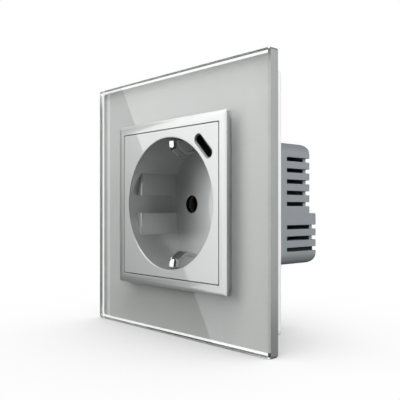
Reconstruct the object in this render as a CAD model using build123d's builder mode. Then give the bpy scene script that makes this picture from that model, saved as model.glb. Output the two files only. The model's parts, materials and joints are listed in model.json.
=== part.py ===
from build123d import *

import os

# Flush-mounted wall socket with a glass panel and a small slanted USB port.
# All lengths are millimetres. X runs to the right, Z up and Y into the wall.
# The origin is the middle of the socket in the plane of the wall.
# A height is a distance in front of the wall, so a negative height is inside the wall.

# Glass panel
panel_side = 80.0
glass_thickness = 3.6
glass_corner = 0.8
glass_chamfer = 0.5
cutout_corner = 1.0
cutout_gap = 0.3

# White frame bonded behind the glass
frame_inset = 3.8
frame_corner = 2.0
frame_height = 5.4
frame_wall = 1.5
frame_web = 1.6
frame_setback = 0.4
rib_thickness = 1.2
rib_offsets = (-24.0, -12.0, 12.0, 24.0)
frame_hook_offset = 18.0

# Pressed steel carrier
carrier_sheet = 1.2
carrier_standoff = 1.5
carrier_corner = 2.0
corner_relief = 4.0
fold_bend = 1.2
mount_spacing = 60.0
mount_slot_width = 4.2
mount_slot_length = 5.2

# Snap hooks of the frame and the bezel
hook_width = 4.0
hook_leg = 1.2
hook_catch = 0.8
hook_catch_height = 0.9

# Bezel round the insert
bezel_flange = 2.83
bezel_corner = 0.6
bezel_rise = 1.2
bevel_width = 1.25
bevel_depth = 0.32
bezel_skirt = 1.18
insert_gap = 0.27
bezel_hook_offset = 8.0

# Socket moulding
face_rim = 2.45
face_corner = 0.4
face_thickness = 1.5
skirt_wall = 1.1
recess_radius = 20.0
recess_depth = 18.0
cup_wall = 1.2
floor_thickness = 1.5
mouth_chamfer = 0.3
boss_cap = 0.6
boss_cover = 0.25

# Guide pads on both sides of the recess
pad_depth = 2.85
pad_length = 14.9
pad_outer = 10.0
pad_gap = 5.75

# Pin holes and contacts
pin_spacing = 19.0
pin_hole_radius = 2.9
pin_chamfer = 0.25
pin_clearance = 0.3
contact_sheet = 0.7
contact_pinch = 4.4
contact_mouth = 5.5
contact_reach = 3.5
contact_drop = 4.6
contact_bend = 0.8
tail_width = 5.0

# Earth strap, one bent strip with a clip at each end
strap_width = 4.0
strap_thickness = 1.0
strap_inset = 3.0
clip_proud = 5.3
clip_apex_depth = 6.3
clip_tip_depth = 2.9
clip_tip_rise = 4.2
clip_tip_lean = 0.2
clip_root_rise = 5.0
strap_slot_width = 5.0
strap_slot_depth = 2.2
strap_bend = 1.2

# Slanted USB port, in the upper right corner of the face
usb_land = 0.98
usb_turn = -45.0
usb_open_width = 8.3
usb_open_height = 2.5
usb_bevel = 0.45
usb_shell_width = 8.94
usb_shell_height = 3.16
usb_shell_wall = 0.3
usb_tongue_width = 6.6
usb_tongue_thickness = 0.7
usb_tongue_setback = 0.7
usb_block_depth = 1.3
usb_board_length = 13.2
usb_board_width = 5.2
usb_board_thickness = 1.0
usb_board_shift = 1.0
board_pin_side = 0.64
board_pin_pitch = 1.27
board_pin_count = 3
board_pin_edge = 1.0
board_pin_end = 3.2

# Rear housing
housing_height = 37.6
housing_corner = 3.5
housing_wall = 1.5
upper_depth = 27.6
lower_depth = 30.8
step_height = -2.9
rear_radius = 2.0
step_radius = 0.7
louvre_start = 16.6
louvre_height = 1.25
louvre_pitch = 3.42
upper_louvre_margin = 5.2
upper_louvre_count = 5
lower_louvre_margin = 4.3
lower_louvre_count = 3

# Housing screws and their columns
column_radius = 3.2
column_sink = 0.3
screw_shank_radius = 1.2
screw_head_radius = 2.1
screw_head_height = 1.8
screw_length = 15.0
screw_bridge = 9.5
cross_width = 2.6
cross_slot = 0.6
cross_depth = 0.9

# Insulating base that holds the contacts
base_width = 33.0
base_top = 5.0
base_bottom = -6.6
base_length = 10.0
base_front_wall = 1.5
chamber_wall = 1.2
post_width = 2.0
post_height = 6.0

# Terminal blocks and screws
terminal_pitch = 10.5
terminal_width = 7.0
terminal_length = 9.0
terminal_height = 7.0
terminal_gap = 0.35
terminal_chamfer = 0.5
wire_hole_radius = 1.7
wire_entry_radius = 2.1
terminal_screw_radius = 1.6
terminal_head_radius = 2.6
terminal_head_height = 1.2
terminal_screw_length = 4.4
terminal_slot_width = 0.8
terminal_slot_depth = 0.6
wire_setback = 5.4
wire_hole_end = 1.05
barrier_rise = 8.3
link_sheet = 0.8
link_clearance = 0.7
link_end_margin = 0.5
rivet_drop = 2.6
rivet_radius = 0.9
rivet_head_radius = 1.5
rivet_head_height = 0.6

# Power supply of the port
board_thickness = 1.2
board_fit = 0.1
board_lift = 0.6
board_clearance = 1.2
core_width = 10.0
core_margin = 0.35
core_depth = 9.0
core_leg = 2.2
core_middle_leg = 2.6
winding_depth = 5.6
bulk_radius = 3.15
bulk_length = 10.5
output_radius = 3.1
output_length = 8.0
choke_radius = 2.4
choke_length = 7.0
can_rim = 0.4
bridge_width = 4.4
bridge_gap = 0.6
bridge_depth = 2.4
board_rib = 1.2

# Fits
slide_fit = 0.2
close_fit = 0.05
column_fit = 0.2
drum_gap = 0.5

# Heights worked out from the sizes above
glass_back = frame_height
glass_front = glass_back + glass_thickness
face = glass_front + bezel_rise
carrier_back = carrier_standoff
carrier_front = carrier_back + carrier_sheet
recess_floor = face - recess_depth
floor_back = recess_floor - floor_thickness
strap_back = floor_back - strap_thickness
board_front = strap_back - board_clearance
board_back = board_front - board_thickness
upper_back = -upper_depth
lower_back = -lower_depth
upper_inside = upper_back + housing_wall
lower_inside = lower_back + housing_wall
base_back = floor_back - base_length
terminal_back = lower_inside
terminal_front = terminal_back + terminal_length
usb_board_back = carrier_back
usb_board_front = usb_board_back + usb_board_thickness

# Sides worked out from the sizes above
face_side = 2 * (recess_radius + face_rim)
skirt_inside = face_side - 2 * skirt_wall
bezel_opening = face_side + 2 * insert_gap
bezel_side = bezel_opening + 2 * bezel_flange
skirt_side = bezel_opening + 2 * bezel_skirt
cutout_side = skirt_side + 2 * cutout_gap
frame_side = panel_side - 2 * frame_inset
rim_inside = frame_side - 2 * frame_wall
inner_rim_side = cutout_side + 2 * frame_setback
rim_outside = inner_rim_side + 2 * frame_wall
frame_hook_x = rim_outside / 2
bezel_hook_z = (skirt_side - bezel_skirt) / 2
catch_bottom = carrier_back - slide_fit - hook_catch_height
carrier_side = rim_inside - 2 * slide_fit
carrier_bore = recess_radius + cup_wall + 2 * column_fit

# Recess, pads, clips and port
pad_plane = recess_radius - pad_depth
strap_half_span = recess_radius - strap_inset
clip_apex = recess_radius - clip_proud + strap_thickness / 2
pin_x = pin_spacing / 2
usb_radial = recess_radius + mouth_chamfer + usb_land + usb_bevel + usb_open_height / 2
usb_place = usb_radial / 2 ** 0.5
board_radial = usb_radial + usb_board_shift
usb_board_place = board_radial / 2 ** 0.5

# Housing, its drum and its columns
drum_inner = recess_radius + cup_wall + column_fit
drum_outer = drum_inner + housing_wall
drum_floor = strap_back - drum_gap
column_x = face_side / 2 - screw_head_radius - boss_cover
column_z = housing_height / 2 - housing_wall - column_radius + column_sink
housing_width = 2 * (column_x + column_radius - column_sink + housing_wall)
inside_width = housing_width - 2 * housing_wall
inside_height = housing_height - 2 * housing_wall

# Contacts, link and terminals
chamber_half = contact_mouth / 2 + contact_sheet + slide_fit
base_height = base_top - base_bottom
base_z = (base_top + base_bottom) / 2
terminal_bottom = close_fit - inside_height / 2
terminal_top = terminal_bottom + terminal_height
terminal_z = (terminal_top + terminal_bottom) / 2
wire_level = terminal_back + wire_setback
link_level = base_bottom - link_clearance - link_sheet / 2
rivet_z = link_level - rivet_drop

# Power supply: its parts share the length of the board with even gaps
board_gap = board_fit + (housing_corner - housing_wall) * (1 - 0.5 ** 0.5)
board_bottom = base_top + board_lift
board_top = inside_height / 2 - board_gap
board_left = board_gap - column_x + column_radius
board_right = inside_width / 2 - board_gap
ledge_top = board_bottom + chamber_wall
component_z = (ledge_top + board_top) / 2
core_height = board_top - ledge_top - 2 * core_margin
window_width = (core_width - 2 * core_leg - core_middle_leg) / 2
window_x = (window_width + core_middle_leg) / 2
part_widths = 4 * bulk_radius + core_width + 2 * output_radius + 2 * choke_radius
part_gap = (board_right - board_left - part_widths) / 6
bulk_pitch = 2 * bulk_radius + part_gap
bulk_x = board_left + part_gap + bulk_radius
core_x = bulk_x + bulk_pitch + bulk_radius + part_gap + core_width / 2
output_x = core_x + core_width / 2 + part_gap + output_radius
choke_x = output_x + output_radius + part_gap + choke_radius
choke_z = component_z - core_height / 2 + choke_radius
bridge_height = core_height - 2 * choke_radius - bridge_gap


def at_height(height):
    """Plane parallel to the wall, at a height in front of it."""
    return Plane.XZ.offset(height)


def save(builder, label):
    """Name a finished piece and write it to its own file."""
    builder.part.label = label
    export_step(builder.part, f"parts/{label}.step")


os.makedirs("parts", exist_ok=True)

# Screw places: three corners, because the port takes the fourth
screw_places = ((-column_x, column_z), (-column_x, -column_z), (column_x, -column_z))


# Glass panel: a sheet with a square cut-out and a ground, polished edge
with BuildPart() as glass_panel:
    with BuildSketch(at_height(glass_back)):
        RectangleRounded(panel_side, panel_side, glass_corner)
        RectangleRounded(cutout_side, cutout_side, cutout_corner, mode=Mode.SUBTRACT)
    extrude(amount=glass_thickness)
    glass_faces = glass_panel.faces().filter_by(Axis.Y).sort_by(Axis.Y)
    chamfer(glass_faces[0].outer_wire().edges(), glass_chamfer)
    back_rim = glass_panel.faces().filter_by(Axis.Y).sort_by(Axis.Y)[-1].outer_wire()
    chamfer(back_rim.edges(), glass_chamfer / 2)
save(glass_panel, "glass_panel")


# White frame: web against the glass, rim to the wall, inner rim on the carrier
with BuildPart() as panel_frame:
    with BuildSketch(at_height(0)):
        RectangleRounded(frame_side, frame_side, frame_corner)
        RectangleRounded(rim_inside, rim_inside, frame_corner - frame_wall / 2, mode=Mode.SUBTRACT)
    extrude(amount=glass_back)
    with BuildSketch(at_height(glass_back)):
        RectangleRounded(frame_side, frame_side, frame_corner)
        RectangleRounded(inner_rim_side, inner_rim_side, cutout_corner, mode=Mode.SUBTRACT)
    extrude(amount=-frame_web)
    with BuildSketch(at_height(carrier_front)):
        RectangleRounded(rim_outside, rim_outside, cutout_corner + frame_wall / 2)
        RectangleRounded(inner_rim_side, inner_rim_side, cutout_corner, mode=Mode.SUBTRACT)
    extrude(amount=glass_back - carrier_front)
    # Ribs tie the two rims together and stop just short of the carrier
    rib_span = (frame_side - rim_outside) / 2
    rib_middle = (frame_side + rim_outside) / 4
    with BuildSketch(at_height(carrier_front + slide_fit)):
        for offset in rib_offsets:
            with Locations((rib_middle, offset), (-rib_middle, offset)):
                Rectangle(rib_span, rib_thickness)
            with Locations((offset, rib_middle), (offset, -rib_middle)):
                Rectangle(rib_thickness, rib_span)
    extrude(amount=glass_back - frame_web - carrier_front - slide_fit)
    # Four snap hooks reach through the carrier and catch behind its sheet
    with BuildSketch(at_height(catch_bottom)):
        with GridLocations(2 * frame_hook_x, 2 * frame_hook_offset, 2, 2):
            Rectangle(hook_leg, hook_width)
    extrude(amount=glass_back - frame_web - catch_bottom)
    with BuildSketch(at_height(catch_bottom)):
        with GridLocations(2 * frame_hook_x + hook_catch, 2 * frame_hook_offset, 2, 2):
            Rectangle(hook_leg + hook_catch, hook_width)
    extrude(amount=hook_catch_height)
save(panel_frame, "panel_frame")


# Carrier: a flat plate whose four sides are folded back to stand on the wall
plate_side = carrier_side - carrier_sheet - 2 * fold_bend
window = hook_leg + hook_catch + 2 * slide_fit
with BuildPart() as carrier_plate:
    with BuildSketch(at_height(carrier_back)):
        RectangleRounded(plate_side, plate_side, carrier_corner)
        Circle(carrier_bore, mode=Mode.SUBTRACT)
        with Locations((usb_board_place, usb_board_place)):
            Rectangle(
                usb_board_length + 2 * slide_fit,
                usb_board_width + 2 * slide_fit,
                rotation=usb_turn,
                mode=Mode.SUBTRACT,
            )
        with Locations(*screw_places):
            Circle(screw_shank_radius + column_fit, mode=Mode.SUBTRACT)
        with GridLocations(2 * frame_hook_x - hook_catch, 2 * frame_hook_offset, 2, 2):
            Rectangle(window, hook_width + 2 * slide_fit, mode=Mode.SUBTRACT)
        with GridLocations(2 * bezel_hook_offset, 2 * bezel_hook_z - hook_catch, 2, 2):
            Rectangle(hook_width + 2 * slide_fit, window, mode=Mode.SUBTRACT)
    extrude(amount=carrier_sheet)
    # Each fold is one bent strip that starts inside the edge of the plate
    plate_middle = (carrier_back + carrier_front) / 2
    fold_outside = (carrier_side - carrier_sheet) / 2
    for quarter in range(4):
        with BuildSketch(Plane.YZ.rotated((0, 90 * quarter, 0))):
            with BuildLine():
                FilletPolyline(
                    (-plate_middle, plate_side / 2 - carrier_sheet),
                    (-plate_middle, fold_outside),
                    (0, fold_outside),
                    radius=fold_bend,
                )
            trace(line_width=carrier_sheet)
        extrude(amount=carrier_side / 2 - corner_relief, both=True)
    # Fixing slots for the wall box, upright and level
    with BuildSketch(at_height(carrier_back)):
        with PolarLocations(mount_spacing / 2, 4):
            SlotOverall(mount_slot_length, mount_slot_width)
    extrude(amount=carrier_sheet, mode=Mode.SUBTRACT)
save(carrier_plate, "carrier_plate")


# Bezel: bevelled flange on the glass, skirt down to the carrier, four snap hooks
with BuildPart() as bezel:
    with BuildSketch(at_height(glass_front)):
        Rectangle(bezel_side, bezel_side)
    extrude(amount=bezel_rise)
    bezel_front = bezel.faces().filter_by(Axis.Y).sort_by(Axis.Y)[0]
    chamfer(bezel_front.edges(), bevel_width, bevel_depth, reference=bezel_front)
    fillet(bezel.edges().filter_by(Axis.Y), bezel_corner)
    with BuildSketch(at_height(glass_front)):
        RectangleRounded(skirt_side, skirt_side, bezel_corner)
    extrude(amount=carrier_front - glass_front)
    with BuildSketch(at_height(face)):
        RectangleRounded(bezel_opening, bezel_opening, bezel_corner / 2)
    extrude(amount=carrier_front - face, mode=Mode.SUBTRACT)
    with BuildSketch(at_height(catch_bottom)):
        with GridLocations(2 * bezel_hook_offset, 2 * bezel_hook_z, 2, 2):
            Rectangle(hook_width, hook_leg)
    extrude(amount=carrier_front - catch_bottom)
    with BuildSketch(at_height(catch_bottom)):
        with GridLocations(2 * bezel_hook_offset, 2 * bezel_hook_z + hook_catch, 2, 2):
            Rectangle(hook_width, hook_leg + hook_catch)
    extrude(amount=hook_catch_height)
save(bezel, "bezel")


# Socket moulding: square face with a skirt, and the round recess hung behind it
with BuildPart() as socket_cup:
    with BuildSketch(at_height(face)):
        RectangleRounded(face_side, face_side, face_corner)
        Circle(recess_radius, mode=Mode.SUBTRACT)
    extrude(amount=-face_thickness)
    with BuildSketch(at_height(face - face_thickness)):
        RectangleRounded(face_side, face_side, face_corner)
        Rectangle(skirt_inside, skirt_inside, mode=Mode.SUBTRACT)
    extrude(amount=carrier_front - face + face_thickness)
    # Section of the cup, turned about the middle of the recess
    with BuildSketch(Plane.XY):
        with BuildLine():
            Polyline(
                (0, -floor_back),
                (recess_radius + cup_wall, -floor_back),
                (recess_radius + cup_wall, -face),
                (recess_radius, -face),
                (recess_radius, -recess_floor),
                (0, -recess_floor),
                close=True,
            )
        make_face()
    revolve(axis=Axis.Y)
    # Bosses for the housing screws
    with BuildSketch(at_height(carrier_front)):
        with Locations(*screw_places):
            Circle(screw_head_radius)
    extrude(amount=face - face_thickness - carrier_front)
    with BuildSketch(at_height(carrier_front)):
        with Locations(*screw_places):
            Circle(screw_shank_radius + close_fit)
    extrude(amount=face - face_thickness - carrier_front - boss_cap, mode=Mode.SUBTRACT)
    front_circles = socket_cup.edges().filter_by(GeomType.CIRCLE).group_by(Axis.Y)[0]
    chamfer(front_circles.sort_by(Edge.length)[-1], mouth_chamfer)
    # Guide pads: four chord-shaped lands that grow out of the side walls
    pad_height = pad_outer - pad_gap / 2
    pad_middle = (pad_outer + pad_gap / 2) / 2
    pad_reach = recess_radius + cup_wall - pad_plane
    with BuildSketch(at_height(recess_floor)):
        with GridLocations(2 * pad_plane + pad_reach, 2 * pad_middle, 2, 2):
            Rectangle(pad_reach, pad_height)
        Circle(recess_radius + cup_wall / 2, mode=Mode.INTERSECT)
    extrude(amount=pad_length)
    # Slots in wall and floor that let the earth clips in
    with BuildSketch(at_height(face - strap_slot_depth)):
        slot_inner = strap_half_span - strap_bend - slide_fit
        slot_outer = recess_radius + cup_wall
        with Locations((0, (slot_inner + slot_outer) / 2), (0, -(slot_inner + slot_outer) / 2)):
            Rectangle(strap_slot_width, slot_outer - slot_inner)
    extrude(amount=floor_back - face + strap_slot_depth, mode=Mode.SUBTRACT)
    # Pin holes with a lead-in
    with Locations(at_height(recess_floor)):
        with Locations((-pin_x, 0), (pin_x, 0)):
            CounterSinkHole(pin_hole_radius, pin_hole_radius + pin_chamfer, floor_thickness, 90)
    # Port opening with its bevel
    with BuildSketch(at_height(face)):
        with Locations((usb_place, usb_place)):
            SlotOverall(usb_open_width, usb_open_height, rotation=usb_turn)
    extrude(amount=-face_thickness, mode=Mode.SUBTRACT)
    socket_front = socket_cup.faces().filter_by(Axis.Y).sort_by(Axis.Y)[0]
    port_rim = socket_front.inner_wires().sort_by(Wire.length)[0]
    chamfer(port_rim.edges(), usb_bevel)
save(socket_cup, "socket_cup")


# Earth strap: one strip, bent so that each end is a sprung clip in the recess
with BuildPart() as earth_strap:
    tip_y = -(face - clip_tip_depth)
    apex_y = -(face - clip_apex_depth)
    arm_y = -(recess_floor + clip_root_rise)
    web_y = -(floor_back + strap_back) / 2
    half_path = (
        (tip_y, clip_apex + clip_tip_rise),
        (tip_y + clip_tip_lean, clip_apex + clip_tip_rise / 2),
        (apex_y, clip_apex),
        (arm_y, strap_half_span),
        (web_y, strap_half_span),
    )
    mirrored_path = tuple((y, -z) for y, z in reversed(half_path))
    with BuildSketch(Plane.YZ):
        with BuildLine():
            FilletPolyline(*half_path, *mirrored_path, radius=strap_bend)
        trace(line_width=strap_thickness)
    extrude(amount=strap_width / 2, both=True)
    # Hole for the rivet of the link
    with BuildSketch(at_height(floor_back)):
        with Locations((0, rivet_z)):
            Circle(rivet_radius + close_fit)
    extrude(amount=-strap_thickness, mode=Mode.SUBTRACT)
save(earth_strap, "earth_strap")


# Earth link: bent strip from the strap to the earth terminal
with BuildPart() as earth_link:
    link_front = strap_back - link_sheet / 2
    link_back = terminal_front + link_sheet / 2
    with BuildSketch(Plane.YZ):
        with BuildLine():
            FilletPolyline(
                (-link_front, rivet_z - rivet_head_radius - link_end_margin),
                (-link_front, link_level),
                (-link_back, link_level),
                (-link_back, terminal_z),
                radius=link_sheet,
            )
        trace(line_width=link_sheet)
    extrude(amount=strap_width / 2, both=True)
    with BuildSketch(at_height(strap_back)):
        with Locations((0, rivet_z)):
            Circle(rivet_radius + close_fit)
    extrude(amount=-link_sheet, mode=Mode.SUBTRACT)
save(earth_link, "earth_link")


# Rivet that joins link and strap
with BuildPart() as earth_rivet:
    with BuildSketch(at_height(floor_back)):
        with Locations((0, rivet_z)):
            Circle(rivet_radius)
    extrude(amount=-(strap_thickness + link_sheet))
    with BuildSketch(at_height(strap_back - link_sheet)):
        with Locations((0, rivet_z)):
            Circle(rivet_head_radius)
    extrude(amount=-rivet_head_height)
    head_rim = earth_rivet.edges().filter_by(GeomType.CIRCLE).sort_by(Axis.Y)[-1]
    chamfer(head_rim, rivet_head_height / 2)
save(earth_rivet, "earth_rivet")


def spring_contact(place):
    """Folded contact: two leaves that grip the pin, and a tail to the terminal."""
    lip = contact_mouth / 2 + contact_sheet / 2
    pinch = contact_pinch / 2 + contact_sheet / 2
    front = floor_back - base_front_wall - slide_fit
    tail_front = terminal_front + link_sheet
    with BuildPart() as contact:
        with BuildSketch(at_height(front)):
            with BuildLine():
                FilletPolyline(
                    (place - lip, contact_reach),
                    (place - pinch, 0),
                    (place - lip, -contact_drop),
                    (place + lip, -contact_drop),
                    (place + pinch, 0),
                    (place + lip, contact_reach),
                    radius=contact_bend,
                )
            trace(line_width=contact_sheet)
        extrude(amount=tail_front - front)
        with BuildSketch(at_height(tail_front)):
            tail_top = contact_sheet / 2 - contact_drop
            with Locations((place, tail_top)):
                Rectangle(tail_width, tail_top - terminal_z, align=(Align.CENTER, Align.MAX))
        extrude(amount=-link_sheet)
    return contact


live_contact = spring_contact(-pin_x)
save(live_contact, "live_contact")
neutral_contact = spring_contact(pin_x)
save(neutral_contact, "neutral_contact")


# Contact base: chambers open to the back, a channel for the strap, a ledge for the board
with BuildPart() as contact_base:
    with BuildSketch(at_height(floor_back)):
        with Locations((0, base_z)):
            Rectangle(base_width, base_height)
    extrude(amount=-base_length)
    fillet(contact_base.edges().filter_by(Axis.Y), chamber_wall)
    with BuildSketch(at_height(floor_back)):
        with Locations((0, base_z)):
            Rectangle(strap_width + 2 * slide_fit, base_height)
    extrude(amount=-(strap_thickness + slide_fit), mode=Mode.SUBTRACT)
    chamber_top = contact_reach + contact_sheet
    chamber_bottom = -contact_drop - contact_sheet / 2 - close_fit
    chamber_z = (chamber_top + chamber_bottom) / 2
    with BuildSketch(at_height(base_back)):
        with Locations((-pin_x, chamber_z), (pin_x, chamber_z)):
            Rectangle(2 * chamber_half, chamber_top - chamber_bottom)
    extrude(amount=base_length - base_front_wall, mode=Mode.SUBTRACT)
    with Locations(at_height(floor_back)):
        with Locations((-pin_x, 0), (pin_x, 0)):
            Hole(pin_hole_radius + pin_clearance)
    with BuildSketch(at_height(board_back)):
        ledge_bottom = base_top - chamber_wall / 2
        with Locations((0, (ledge_bottom + ledge_top) / 2)):
            Rectangle(base_width - 4 * chamber_wall, ledge_top - ledge_bottom)
    extrude(amount=-chamber_wall)
save(contact_base, "contact_base")


def housing_form(inset):
    """Stepped body of the housing, drawn in by inset on its closed sides."""
    half = housing_height / 2 - inset
    step = step_height - inset
    front = -(carrier_back + inset)
    rear_round = max(rear_radius - inset, 0)
    step_round = max(step_radius - inset, 0)
    with BuildPart() as form:
        with BuildSketch(Plane.YZ):
            with BuildLine():
                FilletPolyline(
                    (front, half),
                    (upper_depth - inset, half),
                    (upper_depth - inset, step),
                    (lower_depth - inset, step),
                    (lower_depth - inset, -half),
                    (front, -half),
                    radius=(0, rear_round, 0, step_round, rear_round, 0),
                    close=True,
                )
            make_face()
        extrude(amount=housing_width / 2 - inset, both=True)
        with BuildSketch(at_height(-front)):
            RectangleRounded(
                housing_width - 2 * inset, housing_height - 2 * inset, housing_corner - inset
            )
        extrude(amount=-2 * lower_depth, mode=Mode.INTERSECT)
    return form


outer_form = housing_form(0)
inner_form = housing_form(housing_wall)

# Rear housing: stepped box, drum round the cup, louvres, screw columns and terminal bays
upper_louvre_top = housing_height / 2 - upper_louvre_margin
lower_louvre_top = step_height - lower_louvre_margin
louvre_places = [upper_louvre_top - louvre_pitch * n for n in range(upper_louvre_count)]
louvre_places += [lower_louvre_top - louvre_pitch * n for n in range(lower_louvre_count)]
with BuildPart() as rear_housing:
    add(outer_form.part)
    with BuildSketch(at_height(carrier_back)):
        Circle(drum_outer)
    extrude(amount=drum_floor - housing_wall - carrier_back)
    add(inner_form.part, mode=Mode.SUBTRACT)
    # Columns carry the screws from the back to the carrier
    with BuildSketch(at_height(carrier_back)):
        with Locations(*screw_places):
            Circle(column_radius)
        Rectangle(housing_width - housing_wall, housing_height - housing_wall, mode=Mode.INTERSECT)
    extrude(amount=-(upper_depth - housing_wall / 2 + carrier_back))
    with BuildSketch(at_height(upper_inside)):
        with Locations(*screw_places[1:]):
            Circle(column_radius)
        Rectangle(housing_width - housing_wall, housing_height - housing_wall, mode=Mode.INTERSECT)
    extrude(amount=lower_inside - upper_inside - housing_wall / 2)
    with BuildSketch(at_height(carrier_back)):
        Circle(drum_inner)
    extrude(amount=drum_floor - carrier_back, mode=Mode.SUBTRACT)
    with BuildSketch(at_height(carrier_back)):
        with Locations(*screw_places):
            Circle(screw_shank_radius + column_fit)
    extrude(amount=-lower_depth - carrier_back, mode=Mode.SUBTRACT)
    with BuildSketch(at_height(carrier_back - screw_bridge)):
        with Locations(*screw_places):
            Circle(screw_head_radius + column_fit)
    extrude(amount=-lower_depth, mode=Mode.SUBTRACT)
    # Louvres run through the side walls and out at the back
    with BuildSketch(at_height(-louvre_start)):
        louvre_x = (housing_width - housing_wall) / 2
        with Locations(*[(side * louvre_x, place) for side in (-1, 1) for place in louvre_places]):
            Rectangle(housing_wall, louvre_height)
    extrude(amount=-lower_depth, mode=Mode.SUBTRACT)
    # Posts that press the contact base forward
    with BuildSketch(at_height(upper_inside)):
        with Locations((-(base_width - post_width) / 2, 0), ((base_width - post_width) / 2, 0)):
            Rectangle(post_width, post_height)
    extrude(amount=base_back - upper_inside)
    # Ribs behind the upper edge of the board
    with BuildSketch(at_height(upper_inside)):
        rib_bottom = component_z + bulk_radius + slide_fit
        with Locations((bulk_x, rib_bottom), (output_x, rib_bottom)):
            Rectangle(board_rib, inside_height / 2 - rib_bottom, align=(Align.CENTER, Align.MIN))
    extrude(amount=board_back - upper_inside)
    # Room behind the contacts for the ends of the pins
    with BuildSketch(at_height(upper_inside)):
        with Locations((-pin_x, 0), (pin_x, 0)):
            Rectangle(2 * pin_hole_radius, 2 * pin_hole_radius)
    extrude(amount=-housing_wall / 2, mode=Mode.SUBTRACT)
    # Bays for the terminals, with barriers between them
    barrier = terminal_pitch - terminal_width - 2 * terminal_gap
    with BuildSketch(at_height(lower_inside)):
        bay_floor = -inside_height / 2
        with Locations(*[(place * terminal_pitch, bay_floor) for place in (-0.5, 0.5)]):
            Rectangle(barrier, barrier_rise, align=(Align.CENTER, Align.MIN))
        outer_rib = 1.5 * terminal_pitch - barrier / 2 + board_rib / 2
        with Locations((-outer_rib, bay_floor), (outer_rib, bay_floor)):
            Rectangle(board_rib, barrier_rise, align=(Align.CENTER, Align.MIN))
    extrude(amount=terminal_length)
    # Holes over the terminal screws, and wire entries in the bottom wall
    with BuildSketch(at_height(lower_back)):
        with Locations(*[(place * terminal_pitch, terminal_z) for place in (-1, 0, 1)]):
            Circle(terminal_head_radius + column_fit)
    extrude(amount=housing_wall, mode=Mode.SUBTRACT)
    with BuildSketch(Plane.XY.offset(-housing_height / 2)):
        with Locations(*[(place * terminal_pitch, -wire_level) for place in (-1, 0, 1)]):
            Circle(wire_entry_radius)
    extrude(amount=housing_wall, mode=Mode.SUBTRACT)
save(rear_housing, "rear_housing")


def terminal_block(place):
    """Brass block, drilled for the wire from below and tapped for the screw from behind."""
    with BuildPart() as block:
        with BuildSketch(at_height(terminal_back)):
            with Locations((place, terminal_z)):
                Rectangle(terminal_width, terminal_height)
        extrude(amount=terminal_length)
        chamfer(block.edges(), terminal_chamfer)
        with BuildSketch(Plane.XY.offset(terminal_bottom)):
            with Locations((place, -wire_level)):
                Circle(wire_hole_radius)
        extrude(amount=terminal_height - wire_hole_end, mode=Mode.SUBTRACT)
        with BuildSketch(at_height(terminal_back)):
            with Locations((place, terminal_z)):
                Circle(terminal_screw_radius + close_fit)
        extrude(amount=wire_level - terminal_back, mode=Mode.SUBTRACT)
    return block


for place, name in ((-1, "live_clamp"), (0, "earth_clamp"), (1, "neutral_clamp")):
    save(terminal_block(place * terminal_pitch), name)


# Terminal screws, one to each block
with BuildPart() as terminal_screws:
    terminal_places = [(place * terminal_pitch, terminal_z) for place in (-1, 0, 1)]
    with BuildSketch(at_height(terminal_back)):
        with Locations(*terminal_places):
            Circle(terminal_screw_radius)
    extrude(amount=terminal_screw_length)
    with BuildSketch(at_height(terminal_back)):
        with Locations(*terminal_places):
            Circle(terminal_head_radius)
    extrude(amount=-terminal_head_height)
    with BuildSketch(at_height(terminal_back - terminal_head_height)):
        with Locations(*terminal_places):
            Rectangle(2 * terminal_head_radius, terminal_slot_width)
    extrude(amount=terminal_slot_depth, mode=Mode.SUBTRACT)
save(terminal_screws, "terminal_screws")


# Housing screws, from the columns through the carrier into the bosses
with BuildPart() as housing_screws:
    seat = carrier_back - screw_bridge
    with BuildSketch(at_height(seat)):
        with Locations(*screw_places):
            Circle(screw_shank_radius)
    extrude(amount=screw_length)
    with BuildSketch(at_height(seat)):
        with Locations(*screw_places):
            Circle(screw_head_radius)
    extrude(amount=-screw_head_height)
    with BuildSketch(at_height(seat - screw_head_height)):
        with Locations(*screw_places):
            Rectangle(cross_width, cross_slot)
            Rectangle(cross_slot, cross_width)
    extrude(amount=cross_depth, mode=Mode.SUBTRACT)
save(housing_screws, "housing_screws")


# Port shell: obround steel tube from the small board to the back of the face
with BuildPart() as usb_shell:
    with BuildSketch(at_height(usb_board_front)):
        with Locations((usb_place, usb_place)):
            SlotOverall(usb_shell_width, usb_shell_height, rotation=usb_turn)
            SlotOverall(
                usb_shell_width - 2 * usb_shell_wall,
                usb_shell_height - 2 * usb_shell_wall,
                rotation=usb_turn,
                mode=Mode.SUBTRACT,
            )
    extrude(amount=face - face_thickness - usb_board_front)
save(usb_shell, "usb_shell")


# Port tongue: plastic block at the root of the shell, with the flat contact tongue
with BuildPart() as usb_tongue:
    with BuildSketch(at_height(usb_board_front)):
        with Locations((usb_place, usb_place)):
            SlotOverall(
                usb_shell_width - 2 * usb_shell_wall - 2 * close_fit,
                usb_shell_height - 2 * usb_shell_wall - 2 * close_fit,
                rotation=usb_turn,
            )
    extrude(amount=usb_block_depth)
    with BuildSketch(at_height(usb_board_front)):
        with Locations((usb_place, usb_place)):
            Rectangle(usb_tongue_width, usb_tongue_thickness, rotation=usb_turn)
    extrude(amount=face - face_thickness - usb_tongue_setback - usb_board_front)
save(usb_tongue, "usb_tongue")


# Small board under the port, set in the window of the carrier
with BuildPart() as usb_board:
    with BuildSketch(at_height(usb_board_back)):
        with Locations((usb_board_place, usb_board_place)):
            Rectangle(usb_board_length, usb_board_width, rotation=usb_turn)
    extrude(amount=usb_board_thickness)
save(usb_board, "usb_board")


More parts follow.
